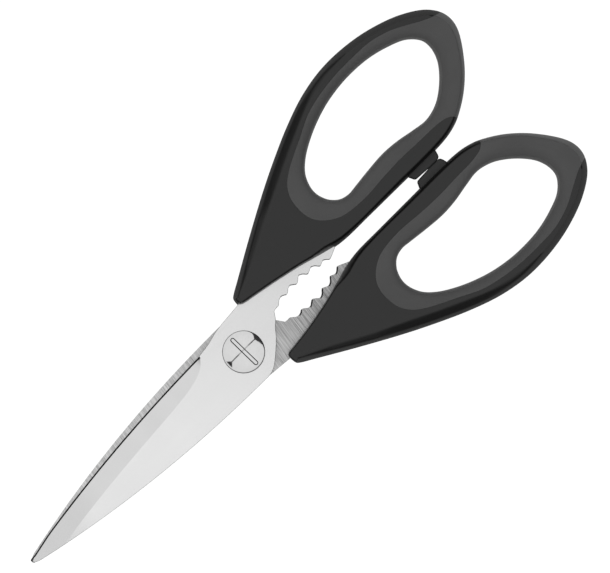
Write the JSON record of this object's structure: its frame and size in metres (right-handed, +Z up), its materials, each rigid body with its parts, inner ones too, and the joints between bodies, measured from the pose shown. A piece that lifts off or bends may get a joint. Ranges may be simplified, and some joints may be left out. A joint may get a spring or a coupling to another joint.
{
  "type": "poultry shears",
  "caption": "Kitchen and poultry shears: pivoting bevelled blades with a toothed jaw behind the pivot, finger bows with soft grips, and stop buffers between the handles.",
  "frame": {"origin": "under the middle of the length and width of the closed shears, on the surface that they lie on", "axes": "+X along the shears from the blade tips to the bows, +Y towards the handle of the blade that carries the screw head, +Z up through the pivot towards the screw head"},
  "size_m": [0.2149, 0.0928, 0.013],
  "materials": {
    "blade_steel": "satin stainless steel, cross-ground on the bevel and shank",
    "pivot_steel": "turned and polished stainless steel",
    "spring_steel": "plain spring steel",
    "washer_nylon": "natural nylon",
    "hard_shell": "moulded black polypropylene, low satin",
    "soft_grip": "dark grey soft-touch elastomer, matt",
    "buffer_rubber": "black rubber, matt"
  },
  "bodies": {
    "back_half": {"back_blade": "blade_steel", "back_handle_shell": "hard_shell", "back_soft_grip": "soft_grip", "back_stop_buffer": "buffer_rubber", "pivot_screw": "pivot_steel", "pivot_nut": "pivot_steel", "disc_spring": "spring_steel", "friction_washer": "washer_nylon"},
    "front_half": {"front_blade": "blade_steel", "front_handle_shell": "hard_shell", "front_soft_grip": "soft_grip", "front_stop_buffer": "buffer_rubber"}
  },
  "joints": [
    {"name": "blade_pivot", "type": "hinge", "parent": "back_half", "child": "front_half", "pos_m": [-0.01305, 0, 0.0065], "axis": [0, 0, 1], "range_deg": [0, 78]}
  ]
}
